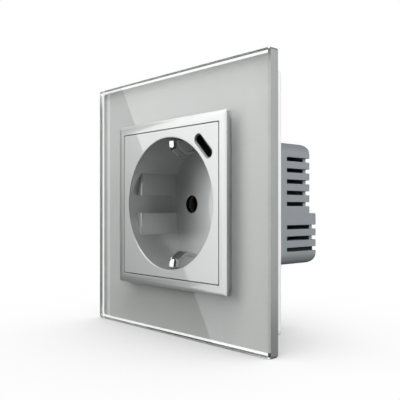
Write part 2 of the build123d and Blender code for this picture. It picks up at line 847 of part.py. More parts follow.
# Pins from the small board down to the board of the power supply
with BuildPart() as board_pins:
    pin_row = board_radial - usb_board_width / 2 + board_pin_edge
    pin_start = usb_board_length / 2 - board_pin_end
    with BuildSketch(at_height(board_front)):
        for n in range(board_pin_count):
            along = pin_start + n * board_pin_pitch
            with Locations(((pin_row + along) / 2 ** 0.5, (pin_row - along) / 2 ** 0.5)):
                Rectangle(board_pin_side, board_pin_side, rotation=usb_turn)
    extrude(amount=usb_board_back - board_front)
save(board_pins, "board_pins")


# Board of the power supply
with BuildPart() as charger_board:
    with BuildSketch(at_height(board_back)):
        with Locations(((board_left + board_right) / 2, (board_bottom + board_top) / 2)):
            Rectangle(board_right - board_left, board_top - board_bottom)
    extrude(amount=board_thickness)
save(charger_board, "charger_board")


# Transformer: a ferrite core with three legs, and the winding round the middle one
with BuildPart() as transformer_core:
    with BuildSketch(at_height(board_back)):
        with Locations((core_x, component_z)):
            Rectangle(core_width, core_height)
            with Locations((-window_x, 0), (window_x, 0)):
                Rectangle(window_width, core_height - 2 * core_leg, mode=Mode.SUBTRACT)
    extrude(amount=-core_depth)
save(transformer_core, "transformer_core")

with BuildPart() as transformer_winding:
    with BuildSketch(at_height(board_back - (core_depth - winding_depth) / 2)):
        with Locations((core_x, component_z)):
            with Locations((-window_x, 0), (window_x, 0)):
                Rectangle(
                    window_width - 2 * close_fit, core_height - 2 * core_leg - 2 * close_fit
                )
    extrude(amount=-winding_depth)
save(transformer_winding, "transformer_winding")


def can(places, radius, length):
    """Round cans standing on the back of the board, with a broken free rim."""
    with BuildPart() as cans:
        with BuildSketch(at_height(board_back)):
            with Locations(*places):
                Circle(radius)
        extrude(amount=-length)
        chamfer(cans.edges().filter_by(GeomType.CIRCLE).group_by(Axis.Y)[-1], can_rim)
    return cans


bulk_places = [(bulk_x, component_z), (bulk_x + bulk_pitch, component_z)]
save(can(bulk_places, bulk_radius, bulk_length), "bulk_capacitors")
save(can([(output_x, component_z)], output_radius, output_length), "output_capacitor")
save(can([(choke_x, choke_z)], choke_radius, choke_length), "input_choke")

with BuildPart() as rectifier_bridge:
    with BuildSketch(at_height(board_back)):
        with Locations((choke_x, choke_z + choke_radius + bridge_gap)):
            Rectangle(bridge_width, bridge_height, align=(Align.CENTER, Align.MIN))
    extrude(amount=-bridge_depth)
save(rectifier_bridge, "rectifier_bridge")
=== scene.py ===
# %% [markdown]
# A flush wall socket behind glass
#
# The object is a sheet of clear glass, painted grey on its back, with a silver plastic
# insert in the middle, a white frame behind it and a grey louvred box that goes into the wall.
# The model of its pieces already exists at its real size. This lesson gives the pieces their
# finish, adds the few surfaces that are too thin or too fine for that model, paints shade,
# a reflection and highlights in a few places, and lights them.
# Blender counts in metres, with X to the right, Y into the wall and Z up. Sizes of the pieces
# are written in millimetres and multiplied by MM. Those of the studio are in metres.

# %% Loading the pieces
import json
import math

import bmesh
import bpy
import numpy as np
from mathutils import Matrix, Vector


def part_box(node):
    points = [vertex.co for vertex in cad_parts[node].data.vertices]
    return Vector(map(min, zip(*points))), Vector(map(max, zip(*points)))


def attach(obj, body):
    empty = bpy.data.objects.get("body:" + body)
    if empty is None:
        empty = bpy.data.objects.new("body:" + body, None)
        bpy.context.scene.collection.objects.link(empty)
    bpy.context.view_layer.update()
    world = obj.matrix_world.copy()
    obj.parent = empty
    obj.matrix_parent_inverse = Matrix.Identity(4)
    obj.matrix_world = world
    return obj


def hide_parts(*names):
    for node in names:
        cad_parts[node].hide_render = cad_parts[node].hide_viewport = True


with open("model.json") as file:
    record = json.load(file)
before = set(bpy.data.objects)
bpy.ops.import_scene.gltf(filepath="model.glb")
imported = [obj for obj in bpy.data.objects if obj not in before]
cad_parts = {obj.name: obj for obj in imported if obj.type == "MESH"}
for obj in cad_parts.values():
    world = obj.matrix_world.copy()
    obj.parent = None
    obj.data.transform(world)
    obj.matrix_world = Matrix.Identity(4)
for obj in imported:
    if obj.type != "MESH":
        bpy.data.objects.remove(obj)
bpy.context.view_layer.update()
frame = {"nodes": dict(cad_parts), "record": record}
MM = 0.001
RIGHT, INWARD, UP = np.eye(3)
print("pieces in the frame:", len(frame["nodes"]))

# %% [markdown]
# The camera
#
# The photograph was taken from the right, level with the socket, and close enough that the
# far edge of the glass looks clearly shorter than the near one. Place, turn and focal length
# were fitted to the edges of the glass, so they are written as real sizes. The horizon lies a
# little below the middle of the picture, which is a small vertical shift and not a tilt,
# because all upright edges stay parallel.

# %% Camera
IMAGE_SIDE = 400
HORIZON_ROW = 208.93
CAMERA_PLACE = np.array((0.139522, -0.122311, -0.001589))
CAMERA_TURN = math.radians(48.02)
FOCAL_PIXELS = 589.03
SENSOR_WIDTH = 36.0
CLIP_START = 0.01
camera_data = bpy.data.cameras.new("camera")
camera_data.sensor_width = SENSOR_WIDTH
camera_data.lens = SENSOR_WIDTH * FOCAL_PIXELS / IMAGE_SIDE
camera_data.shift_y = (HORIZON_ROW - IMAGE_SIDE / 2) / IMAGE_SIDE
camera_data.clip_start = CLIP_START
camera = bpy.data.objects.new("camera", camera_data)
camera.location = CAMERA_PLACE
camera.rotation_euler = (math.pi / 2, 0, CAMERA_TURN)
bpy.context.scene.collection.objects.link(camera)
bpy.context.scene.camera = camera
print("lens", round(camera_data.lens, 2), "mm")

# %% [markdown]
# Helpers for meshes
#
# A computed piece starts as arrays: points on a grid, and faces that join each grid cell.
# The faces are also an array, made by shifting index grids, so no loop visits a point.

# %% Faces of a grid
def grid_faces(rows, columns, closed_rows, closed_columns):
    """Quads of a grid: corner (i, j), its right neighbour (i, j + 1), the one above that
    (i + 1, j + 1), and the one above the corner (i + 1, j). Closed sides wrap round."""
    index = np.arange(rows * columns).reshape(rows, columns)
    below = index if closed_rows else index[:-1]
    above = np.roll(index, -1, axis=0) if closed_rows else index[1:]
    if closed_columns:
        right_below, right_above = np.roll(below, -1, axis=1), np.roll(above, -1, axis=1)
    else:
        right_below, right_above = below[:, 1:], above[:, 1:]
        below, above = below[:, :-1], above[:, :-1]
    return np.stack((below, right_below, right_above, above), axis=-1).reshape(-1, 4)


print("faces of an open grid of 3 by 3 points:", len(grid_faces(3, 3, False, False)))

# %% [markdown]
# From arrays to a piece
#
# The arrays go into a mesh in one step. Points that lie on one another, as in the tip of a
# bar, are merged, and all faces are turned outwards. Edges sharper than some degrees stay
# sharp. Each new piece then gets its finish and rides on the one body of the part.

# %% A piece and its seat
MERGE_DISTANCE = 1e-7


def mesh_piece(name, points, faces, smooth_degrees=35):
    """An object at the origin made of these points and faces, all turned outwards."""
    mesh = bpy.data.meshes.new(name)
    mesh.from_pydata(np.asarray(points).reshape(-1, 3), [], faces.tolist())
    joined = bmesh.new()
    joined.from_mesh(mesh)
    bmesh.ops.remove_doubles(joined, verts=joined.verts, dist=MERGE_DISTANCE)
    bmesh.ops.recalc_face_normals(joined, faces=joined.faces)
    joined.to_mesh(mesh)
    joined.free()
    mesh.polygons.foreach_set("use_smooth", np.ones(len(mesh.polygons), bool))
    mesh.set_sharp_from_angle(angle=math.radians(smooth_degrees))
    piece = bpy.data.objects.new(name, mesh)
    bpy.context.scene.collection.objects.link(piece)
    print(name, len(mesh.polygons), "faces")
    return piece


def seat(piece, material, slot, *nodes):
    """Gives a new piece its finish and its place on the one body, and hides the pieces it stands
    for.
    """
    piece.data.materials.clear()
    piece.data.materials.append(material)
    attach(piece, "root")
    if nodes:
        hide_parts(*nodes)
    return piece


print(f"points nearer than {MERGE_DISTANCE / MM:.4f} mm are merged")

# %% [markdown]
# Small words for nodes
#
# A material is a net of nodes. Five short functions save most of the typing: one starts a
# material, one adds a maths node, two give the place on the piece and its part along X, and
# one gives an even noise. Places are Object coordinates, so a pattern sits still on its piece.

# %% Node helpers
def new_material(name):
    """A material with nodes, its node tree and its shader."""
    material = bpy.data.materials.new(name)
    material.use_nodes = True
    return material, material.node_tree, material.node_tree.nodes["Principled BSDF"]


def calculate(tree, operation, *values):
    """The result of a maths node, each value being a number or another node's output."""
    node = tree.nodes.new("ShaderNodeMath")
    node.operation = operation
    for socket, value in zip(node.inputs, values):
        if isinstance(value, (int, float)):
            socket.default_value = value
        else:
            tree.links.new(value, socket)
    return node.outputs[0]


def own_place(tree):
    """Object coordinates: metres from the origin of the piece."""
    return tree.nodes.new("ShaderNodeTexCoord").outputs["Object"]


def own_across(tree):
    """The X part of the Object coordinates."""
    axes = tree.nodes.new("ShaderNodeSeparateXYZ")
    tree.links.new(own_place(tree), axes.inputs[0])
    return axes.outputs["X"]


def noise(tree, scale, detail):
    """Even noise, scale in features per metre."""
    pattern = tree.nodes.new("ShaderNodeTexNoise")
    pattern.inputs["Scale"].default_value = scale
    pattern.inputs["Detail"].default_value = detail
    tree.links.new(own_place(tree), pattern.inputs["Vector"])
    return pattern.outputs["Fac"]


print("node helpers: material, calculation, place, part along X, noise")

# %% [markdown]
# One function for a finish
#
# Moulded plastic, painted glass and plated metal differ in colour, in how sharp their
# reflections are and in their small relief. One function sets what is the same all over a
# piece straight on the shader, and adds the two things that vary: a slight drift of the
# colour and a fine relief. A rounded-edge node softens the normals along sharp edges, as a
# mould does.

# %% Drift, relief and finish
DRIFT_LOW, DRIFT_HIGH = 0.3, 0.7
DRIFT_DETAIL, GRAIN_DETAIL = 3.0, 4.0
EDGE_SAMPLES = 6
finishes = {}


def drift(tree, shader, colour, amount, scale):
    """Lets the base colour wander by a share of amount round its value."""
    ramp = tree.nodes.new("ShaderNodeValToRGB")
    low, high = ramp.color_ramp.elements
    low.position, high.position = DRIFT_LOW, DRIFT_HIGH
    low.color = [max(c * (1 - amount), 0) for c in colour] + [1]
    high.color = [min(c * (1 + amount), 1) for c in colour] + [1]
    tree.links.new(noise(tree, scale, DRIFT_DETAIL), ramp.inputs["Fac"])
    tree.links.new(ramp.outputs["Color"], shader.inputs["Base Color"])


def relief(tree, shader, scale, depth_mm, edge_mm):
    """Rounded edges of a radius, and under them a fine relief of a depth."""
    bump = tree.nodes.new("ShaderNodeBump")
    bump.inputs["Distance"].default_value = depth_mm * MM
    bump.inputs["Strength"].default_value = 1.0
    tree.links.new(noise(tree, scale, GRAIN_DETAIL), bump.inputs["Height"])
    if edge_mm:
        edge = tree.nodes.new("ShaderNodeBevel")
        edge.samples = EDGE_SAMPLES
        edge.inputs["Radius"].default_value = edge_mm * MM
        tree.links.new(edge.outputs["Normal"], bump.inputs["Normal"])
    tree.links.new(bump.outputs["Normal"], shader.inputs["Normal"])


def finish(name, colour, roughness, metallic=0.0, coat=0.0, coat_roughness=0.05,
           wander=0.02, wander_scale=60.0, grain=3000.0, grain_mm=0.002, edge_mm=0.15):
    """A whole finish: colour, gloss, metal, lacquer, drift, grain and edge radius. Scales are
    in features per metre, and a grain or an edge of 0 mm leaves it smooth or sharp."""
    material, tree, shader = new_material(name)
    shader.inputs["Roughness"].default_value = roughness
    shader.inputs["Metallic"].default_value = metallic
    shader.inputs["Coat Weight"].default_value = coat
    shader.inputs["Coat Roughness"].default_value = coat_roughness
    drift(tree, shader, colour, wander, wander_scale)
    relief(tree, shader, grain, grain_mm, edge_mm)
    finishes[name] = material
    return material


def adjust(material, socket, value):
    """Sets one more value on the shader of a finish."""
    material.node_tree.nodes["Principled BSDF"].inputs[socket].default_value = value


print("drift between", DRIFT_LOW, "and", DRIFT_HIGH, "of the noise")

# %% [markdown]
# The plastics
#
# The insert is satin silver plastic under a clear, strong sheen, so it has some metal and a
# lacquer. The frame is plain white, and the box in the wall is a slightly blue grey with a
# spark-eroded texture. Inside are a pale base, black plastic, tape and shrunk sleeves.

# %% Plastics
SILVER_COAT_IOR = 1.7
silver_plastic = finish("silver_plastic", (0.86, 0.87, 0.87), 0.45, metallic=0.65, coat=1.0,
                        coat_roughness=0.02)
adjust(silver_plastic, "Coat IOR", SILVER_COAT_IOR)
finish("white_plastic", (0.93, 0.93, 0.92), 0.45)
finish("housing_plastic", (0.27, 0.295, 0.315), 0.5, grain=5200.0, grain_mm=0.006, wander=0.04)
finish("base_plastic", (0.30, 0.29, 0.27), 0.5)
finish("black_plastic", (0.02, 0.02, 0.021), 0.4)
finish("board_laminate", (0.03, 0.16, 0.07), 0.3, coat=0.5, wander=0.12, wander_scale=900.0)
finish("winding_tape", (0.75, 0.52, 0.08), 0.35)
finish("capacitor_sleeve", (0.03, 0.04, 0.07), 0.25, coat=0.3)
print("finishes so far:", len(finishes))

# %% [markdown]
# The metals
#
# The carrier is zinc-plated sheet, the contacts are drawn brass, and the cores are ground
# ferrite. The earth clips are bright nickel on a bent strip, whose shine in the photo runs off
# to both sides as on a hollow channel. The strip's mesh is flat across, so the hollow is added
# as relief in the finish.

# %% Metals
CLIP_HOLLOW = 190.0


def hollow_across(material, bend):
    """Hollows a strip across its width: height = bend x x / 2, with x from the middle of the
    socket, where the strip runs. It is laid under the grain."""
    tree = material.node_tree
    grain = next(node for node in tree.nodes if node.type == "BUMP")
    across = own_across(tree)
    height = calculate(tree, "MULTIPLY", calculate(tree, "MULTIPLY", across, across), bend / 2)
    hollow = tree.nodes.new("ShaderNodeBump")
    hollow.inputs["Distance"].default_value = 1.0
    tree.links.new(height, hollow.inputs["Height"])
    for link in list(grain.inputs["Normal"].links):
        tree.links.new(link.from_socket, hollow.inputs["Normal"])
    tree.links.new(hollow.outputs["Normal"], grain.inputs["Normal"])


finish("plated_steel", (0.62, 0.63, 0.64), 0.32, metallic=1.0, wander=0.06, wander_scale=240.0,
       grain_mm=0.001)
nickel_plate = finish("nickel_plate", (0.62, 0.61, 0.59), 0.09, metallic=1.0, grain=900.0,
                      grain_mm=0.0015)
hollow_across(nickel_plate, CLIP_HOLLOW)
finish("brass_sheet", (0.62, 0.46, 0.21), 0.2, metallic=1.0, wander=0.08, wander_scale=300.0)
finish("ferrite_core", (0.07, 0.07, 0.075), 0.6, wander=0.2, wander_scale=1500.0)
print("finishes so far:", len(finishes))

# %% [markdown]
# The glass
#
# The sheet is clear float glass, so the light bends where it enters. That comes from true
# refraction in a solid sheet. Lamps can't find their way through bent light, so for shadow
# rays alone the sheet lets light straight through, which keeps the paint behind it bright.
# Its narrow sides are made as if ground and sealed in grey. They show as the darker band at
# the right, and from inside, through the front, as the dark line along the left. From inside
# the left one is turned away from the main lamp, so it gets a paler grey as painted light.

# %% Clear glass
GLASS_IOR = 1.51
GLASS_TINT = (0.985, 0.995, 0.99, 1)
SHADOW_TINT = (0.96, 0.97, 0.965, 1)


def clear_glass():
    """Refracting glass that is simply transparent to shadow rays."""
    material, tree, shader = new_material("painted_glass")
    shader.inputs["Base Color"].default_value = GLASS_TINT
    shader.inputs["Roughness"].default_value = 0.0
    shader.inputs["IOR"].default_value = GLASS_IOR
    shader.inputs["Transmission Weight"].default_value = 1.0
    through = tree.nodes.new("ShaderNodeBsdfTransparent")
    through.inputs["Color"].default_value = SHADOW_TINT
    path = tree.nodes.new("ShaderNodeLightPath")
    mix = tree.nodes.new("ShaderNodeMixShader")
    tree.links.new(path.outputs["Is Shadow Ray"], mix.inputs[0])
    tree.links.new(shader.outputs[0], mix.inputs[1])
    tree.links.new(through.outputs[0], mix.inputs[2])
    tree.links.new(mix.outputs[0], tree.nodes["Material Output"].inputs["Surface"])
    return material


finishes["painted_glass"] = clear_glass()
glass_edge = finish("glass_edge", (0.27, 0.275, 0.275), 0.2, wander=0.01, grain_mm=0.0,
                    edge_mm=0)
# painted light: the left side gets a paler grey than the other sides, to make up for the lamp
left_edge_painted_light = finish("left_edge_painted_light", (0.8, 0.81, 0.81), 0.3, wander=0.01, grain_mm=0.0, edge_mm=0)
print("glass bends light by an index of", GLASS_IOR)

# %% [markdown]
# Smooth skins over the turned and moulded pieces
#
# The model's meshes are loose triangles with a normal each, so a round wall shows its flats in
# every reflection. A copy whose points are merged can share normals across the round walls and
# keep them apart at real edges. The copy has the same form and stands for the piece.

# %% Smooth copies
SKIN_MERGE_DISTANCE = 2e-7


def smooth_skin(node, degrees=28):
    """A merged copy of a piece's mesh, smooth wherever two faces meet at less than degrees."""
    mesh = frame["nodes"][node].data.copy()
    merged = bmesh.new()
    merged.from_mesh(mesh)
    bmesh.ops.remove_doubles(merged, verts=merged.verts, dist=SKIN_MERGE_DISTANCE)
    merged.to_mesh(mesh)
    merged.free()
    if "custom_normal" in mesh.attributes:
        mesh.attributes.remove(mesh.attributes["custom_normal"])
    mesh.polygons.foreach_set("use_smooth", np.ones(len(mesh.polygons), bool))
    mesh.set_sharp_from_angle(angle=math.radians(degrees))
    skin = bpy.data.objects.new(node + "_skin", mesh)
    bpy.context.scene.collection.objects.link(skin)
    return skin


slots = {part["node"]: part["material_slot"] for part in frame["record"]["subparts"]}
skins = {}
flat_pieces = ("charger_board", "usb_board", "rectifier_bridge", "transformer_core",
               "transformer_winding", "board_pins")
for node, slot in slots.items():
    if node in flat_pieces:
        piece = frame["nodes"][node]
        piece.data.materials.clear()
        piece.data.materials.append(finishes[slot])
    else:
        skins[node] = seat(smooth_skin(node), finishes[slot], slot, node)
print("skins:", len(skins))

# %% [markdown]
# A second finish on some faces
#
# A few faces of a piece need another finish than the rest: the sides of the glass, and the
# openings of the insert. They are found by their place and their slope, which come out of the
# mesh as whole arrays. The sides of the glass stand square to its front, so the Y part of their
# direction is near nought, and the left one looks towards -X.

# %% Sides of the glass
SIDE_SLOPE = 0.3
LEFT_SLOPE = -0.7


def per_face(skin, what):
    """A measure of each face, its direction or its middle, as an array of x, y and z."""
    values = np.empty(len(skin.data.polygons) * 3)
    skin.data.polygons.foreach_get(what, values)
    return values.reshape(-1, 3)


def refinish(skin, material, chosen):
    """Gives the material to the faces that the array of true and false values picks."""
    skin.data.materials.append(material)
    current = np.zeros(len(skin.data.polygons), np.int32)
    skin.data.polygons.foreach_get("material_index", current)
    current[chosen] = len(skin.data.materials) - 1
    skin.data.polygons.foreach_set("material_index", current)
    print(material.name, int(chosen.sum()), "faces")


glass_slopes = per_face(skins["glass_panel"], "normal")
square_on = np.abs(glass_slopes[:, 1]) < SIDE_SLOPE
looks_left = glass_slopes[:, 0] < LEFT_SLOPE
refinish(skins["glass_panel"], glass_edge, square_on & ~looks_left)
# the left side gets the paler grey, painted light
refinish(skins["glass_panel"], left_edge_painted_light, square_on & looks_left)

# %% [markdown]
# The paint behind the glass
#
# The colour of the panel is a coat of paint on the back of the sheet. It is far too thin for
# the model of the pieces, but it is what the eye sees. It is a surface between two closed
# outlines, the cut-out and the rim, both rounded squares with the same number of points. It
# stops a millimetre short of the rim, and that clear border shows the white ground behind as
# bright lines along the top, the bottom and the left.

# %% Paint
CUTOUT_SIDE = 48.4
PAINT_MARGIN = 0.06
CLEAR_BORDER = 1.0
PAINT_LIFT = 0.02
PAINT_THICKNESS = 0.03
CUTOUT_CORNER, RIM_CORNER = 1.0, 0.8


def rounded_square(side, corner, steps=8):
    """Points of a rounded square, going round: each corner's arc centre plus corner times
    (cos, sin) of an angle that runs through its quarter turn."""
    turn = np.linspace(0, math.pi / 2, steps)[None, :] + np.arange(4)[:, None] * math.pi / 2
    middle = np.arange(4) * math.pi / 2 + math.pi / 4
    reach = (side / 2 - corner) * math.sqrt(2)
    x = reach * np.cos(middle)[:, None] + corner * np.cos(turn)
    z = reach * np.sin(middle)[:, None] + corner * np.sin(turn)
    return np.stack((x.ravel(), z.ravel()), axis=-1)


def layer_between(name, inner, outer, back, front):
    """A closed thin ring of four outlines in a row: inner and outer at the back, then outer
    and inner at the front, each point being (x, -height, z)."""
    outlines = (inner, outer, outer, inner)
    heights = (back, back, front, front)
    points = np.stack([
        np.column_stack((outline[:, 0], np.full(len(outline), -height), outline[:, 1]))
        for outline, height in zip(outlines, heights)])
    faces = grid_faces(len(outlines), len(inner), True, True)
    return mesh_piece(name, points, faces, smooth_degrees=20)


glass_low, glass_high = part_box("glass_panel")
glass_side = (glass_high.x - glass_low.x) / MM
paint_back = -glass_high.y / MM + PAINT_LIFT
glass_paint = finish("glass_paint", (0.74, 0.75, 0.74), 0.6, wander=0.015, grain_mm=0.0,
                     edge_mm=0)
paint = layer_between(
    "back_paint",
    rounded_square(CUTOUT_SIDE + 2 * PAINT_MARGIN, CUTOUT_CORNER) * MM,
    rounded_square(glass_side - 2 * CLEAR_BORDER, RIM_CORNER) * MM,
    paint_back * MM,
    (paint_back + PAINT_THICKNESS) * MM,
)
seat(paint, glass_paint, "painted_glass")

# %% [markdown]
# A painted reflection in the paint
#
# Near its left rim the panel shows a paler upright band, with a slightly darker one outside
# it. Both are a reflection in the glass, painted into the paint in the plainest way: the colour
# of the paint is multiplied by a factor that changes along X. The photo doesn't show what
# causes it, so it is made in the plainest way: the colour of the paint is multiplied by a
# factor that changes along X. The stops of a colour ramp hold the factors. A ramp ends at 1, so
# it holds them divided by a peak just above the largest, and a product undoes that.

# %% Painted reflection band
BAND_LOW, BAND_HIGH, BAND_PEAK = -39.0, -35.0, 1.27
BAND_STOPS = ((-38.9, 1.0), (-38.0, 0.95), (-37.2, 0.95), (-36.7, 1.26), (-35.6, 1.26),
              (-35.1, 1.0))


def painted_reflection_bands(material, low, high, peak, stops):
    """Multiplies the colour by a factor of X: stops are pairs of a place in mm, from low to
    high, and the factor there, and between two stops it runs straight."""
    tree = material.node_tree
    base = tree.nodes["Principled BSDF"].inputs["Base Color"]
    colour = base.links[0].from_socket
    share = tree.nodes.new("ShaderNodeMapRange")
    share.inputs["From Min"].default_value = low * MM
    share.inputs["From Max"].default_value = high * MM
    tree.links.new(own_across(tree), share.inputs["Value"])
    ramp = tree.nodes.new("ShaderNodeValToRGB")
    tree.links.new(share.outputs["Result"], ramp.inputs["Fac"])
    elements = ramp.color_ramp.elements
    while len(elements) < len(stops):
        elements.new(0.5)
    for element, (spot, factor) in zip(elements, stops):
        element.position = (spot - low) / (high - low)
        element.color = (factor / peak, factor / peak, factor / peak, 1)
    scaled = tree.nodes.new("ShaderNodeVectorMath")
    scaled.operation = "SCALE"
    tree.links.new(colour, scaled.inputs[0])
    tree.links.new(calculate(tree, "MULTIPLY", ramp.outputs["Color"], peak),
                   scaled.inputs["Scale"])
    tree.links.new(scaled.outputs["Vector"], base)
    print("band in the paint from", stops[0][0], "to", stops[-1][0], "mm")


# painted reflection: a paler upright band near the left rim, with a darker one outside it
painted_reflection_bands(glass_paint, BAND_LOW, BAND_HIGH, BAND_PEAK, BAND_STOPS)

# %% [markdown]
# Port and pin holes
#
# Port and pin holes look black in the photo, because hardly any light finds its way back out.
# Their inner walls get that shade painted on, as a near-black colour with little shine, and the
# bevel of the port a dull finish. The faces are found by their place on the front, in a frame
# turned by 45 degrees for the port, and by their slope.

# %% Port and pin holes
PORT_PLACE, PORT_REACH_ALONG, PORT_REACH_BESIDE, PORT_BACK = 16.25, 6.0, 2.6, -6.0
PIN_PLACE, PIN_REACH, PIN_FRONT = 9.5, 4.0, 7.0
WALL_SLOPE, FLAT_SLOPE = 0.2, 0.95
PAINTED_SHADE_SPECULAR = 0.1
cup = skins["socket_cup"]
across, depth, upright = per_face(cup, "center").T / MM
facing = np.abs(per_face(cup, "normal")[:, 1])
along = (across - upright) / math.sqrt(2)
beside = (across + upright - 2 * PORT_PLACE) / math.sqrt(2)
in_port = ((np.abs(along) < PORT_REACH_ALONG) & (np.abs(beside) < PORT_REACH_BESIDE)
           & (depth < PORT_BACK))
in_pin = (np.hypot(np.abs(across) - PIN_PLACE, upright) < PIN_REACH) & (depth > PIN_FRONT)
wall = facing < WALL_SLOPE
bevel = (facing > WALL_SLOPE) & (facing < FLAT_SLOPE)
# painted shade: near black, for the inner walls of port and pin holes and for the lowest louvre
painted_shade = finish("painted_shade", (0.02, 0.02, 0.02), 0.9)
adjust(painted_shade, "Specular IOR Level", PAINTED_SHADE_SPECULAR)
dull_bevel = finish("dull_bevel", (0.42, 0.43, 0.43), 0.5, coat=0.3)
refinish(cup, painted_shade, wall & (in_port | in_pin))
refinish(cup, dull_bevel, bevel & in_port)

# %% [markdown]
# The lowest louvre
#
# All louvres look open and dark in the photo. The lowest one has a screw column close behind
# it, which would show grey. So painted shade is put there: a thin dark strip on its floor on
# each side, just inside the outer wall of the box, in the near-black painted-shade finish. It is
# a plain box: its eight corners are all pairings of two values of X, Y and Z, and its six faces
# are written out.

# %% Painted shade strips in the lowest louvre
LOUVRE_WALL, LOUVRE_START, LOUVRE_PLACE, LOUVRE_HALF = 1.5, 16.6, -14.04, 0.6
STRIP_INSET, STRIP_THICKNESS, STRIP_GAP = 0.15, 0.1, 0.05
BOX_FACES = np.array(((0, 1, 3, 2), (4, 6, 7, 5), (0, 4, 5, 1),
                      (2, 3, 7, 6), (0, 2, 6, 4), (1, 5, 7, 3)))
housing_low, housing_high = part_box("rear_housing")
strip_near = housing_high.x - (LOUVRE_WALL - STRIP_INSET) * MM
for side, side_name in ((-1, "left"), (1, "right")):
    corners = np.array(np.meshgrid(
        (side * strip_near, side * (strip_near - STRIP_THICKNESS * MM)),
        ((LOUVRE_START + STRIP_GAP) * MM, housing_high.y - STRIP_GAP * MM),
        ((LOUVRE_PLACE - LOUVRE_HALF) * MM, (LOUVRE_PLACE + LOUVRE_HALF) * MM),
        indexing="ij")).reshape(3, -1).T
    # painted shade: dark strips that stand for the shade inside the lowest louvre
    seat(mesh_piece(f"louvre_shade_strip_{side_name}", corners, BOX_FACES), painted_shade, "black_plastic")

# %% [markdown]
# The rolled lip of the recess
#
# The mouth of the recess isn't sharp: the mould leaves a small round that catches the light as
# a thin bright line. It is a quarter circle carried round the mouth, laid on the small chamfer.

# %% Lip
RECESS_RADIUS = 20.0
LIP_SIZE = 0.3
CHAMFER_SHARE = 0.6


def lip_ring(name, radius, lip, face, steps=96, arc_steps=7):
    """A quarter circle from the wall to the face, closed by one point behind it in the
    chamfer, and turned about the middle: point = (r cos t, -height, r sin t)."""
    quarter = np.linspace(0, math.pi / 2, arc_steps)
    reach = radius + lip - lip * np.sin(quarter)
    height = face - lip + lip * np.cos(quarter)
    reach = np.append(reach, radius + lip * CHAMFER_SHARE)
    height = np.append(height, face - lip * CHAMFER_SHARE)
    t = np.linspace(0, 2 * math.pi, steps, endpoint=False)[:, None]
    points = np.stack((reach * np.cos(t), -height * np.ones_like(t), reach * np.sin(t)), axis=-1)
    faces = grid_faces(steps, arc_steps + 1, True, True)
    return mesh_piece(name, points, faces, smooth_degrees=50)


insert_low, insert_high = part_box("bezel")
lip = lip_ring("recess_lip", RECESS_RADIUS * MM, LIP_SIZE * MM, -insert_low.y)
seat(lip, silver_plastic, "silver_plastic")

# %% [markdown]
# Rounds on the guide pads
#
# The front edges of the guide pads shine as thin upright lines, as rounded and smooth edges
# do. Each is made as a slim round bar, sunk into the edge of its pad but for a fiftieth of a
# millimetre. Its finish is a bright, fully metallic white in place of the silver plastic of the
# pads, so the line is partly a real round and partly a painted highlight. The ends draw in to a
# point, which closes the bar.

# %% Pad rounds
PAD_PLANE, PAD_FRONT, PAD_NEAR, PAD_FAR = 17.15, 7.1, 2.9, 9.9
ROUND_RADIUS, ROUND_PROUD = 0.3, 0.02
ROUND_SUNK = ROUND_RADIUS - ROUND_PROUD


def edge_round(name, across, height, low, high, radius, steps=16):
    """Circles of radius r stacked along z: point = (across + r sin t, -(height + r cos t), z),
    with r = 0 for the first and the last."""
    t = np.linspace(0, 2 * math.pi, steps, endpoint=False)
    r = np.array((0, radius, radius, 0))[:, None]
    z = np.array((low, low + radius, high - radius, high))[:, None] * np.ones_like(t)
    points = np.stack((across + r * np.sin(t), -height - r * np.cos(t), z), axis=-1)
    faces = grid_faces(len(points), steps, False, True)
    return mesh_piece(name, points, faces, smooth_degrees=50)


# painted highlight: brighter and more metallic than the silver plastic of the pads
pad_painted_highlight = finish("pad_painted_highlight", (0.93, 0.93, 0.93), 0.15, metallic=1.0, grain_mm=0, edge_mm=0)
for side, side_name in ((-1, "left"), (1, "right")):
    for up, up_name in ((-1, "lower"), (1, "upper")):
        low, high = sorted((up * PAD_NEAR * MM, up * PAD_FAR * MM))
        bar = edge_round(f"pad_round_{side_name}_{up_name}", side * (PAD_PLANE + ROUND_SUNK) * MM,
                         (PAD_FRONT - ROUND_SUNK) * MM, low, high, ROUND_RADIUS * MM)
        seat(bar, pad_painted_highlight, "silver_plastic")

# %% [markdown]
# The floor
#
# The socket stands on its glass rim on a pale floor in front of a white ground. The floor is
# only for the picture and is no piece of the object. It is one large square at the height of
# the rim. It sends no light back and is in no reflection, so the lower half of the object
# stays darker, as in the photo.

# %% Floor
FLOOR_SIZE = 3.0
floor_corners = np.array(((-1, -1), (1, -1), (1, 1), (-1, 1))) * FLOOR_SIZE
floor_points = np.column_stack((floor_corners, np.full(4, glass_low.z)))
floor_mesh = bpy.data.meshes.new("floor")
floor_mesh.from_pydata(floor_points, [], [(0, 1, 2, 3)])
floor = bpy.data.objects.new("floor", floor_mesh)
bpy.context.scene.collection.objects.link(floor)
floor.visible_diffuse = False
floor.visible_glossy = False
floor.visible_transmission = False
print("floor at", round(glass_low.z / MM, 2), "mm")

# %% [markdown]
# The shadow on the floor
#
# The shadow in the photo is even on all sides and darkest at the rim, as under a white dome.
# So the floor shines evenly in white and measures, by ambient occlusion, how much of the dome
# the object hides at each point. The square of that share is taken off, which keeps the shadow
# dark at the rim and thin further out, and it fades into plain white well away from the object.

# %% Shadow
SHADOW_DEPTH, SHADOW_POWER = 1.4, 2.0
DOME_REACH, DOME_SAMPLES = 0.15, 16
FADE_NEAR, FADE_FAR = 0.06, 0.25


def blend(tree, share, first, second):
    """A mix of two shaders by a share."""
    mix = tree.nodes.new("ShaderNodeMixShader")
    tree.links.new(share, mix.inputs[0])
    tree.links.new(first, mix.inputs[1])
    tree.links.new(second, mix.inputs[2])
    return mix.outputs[0]


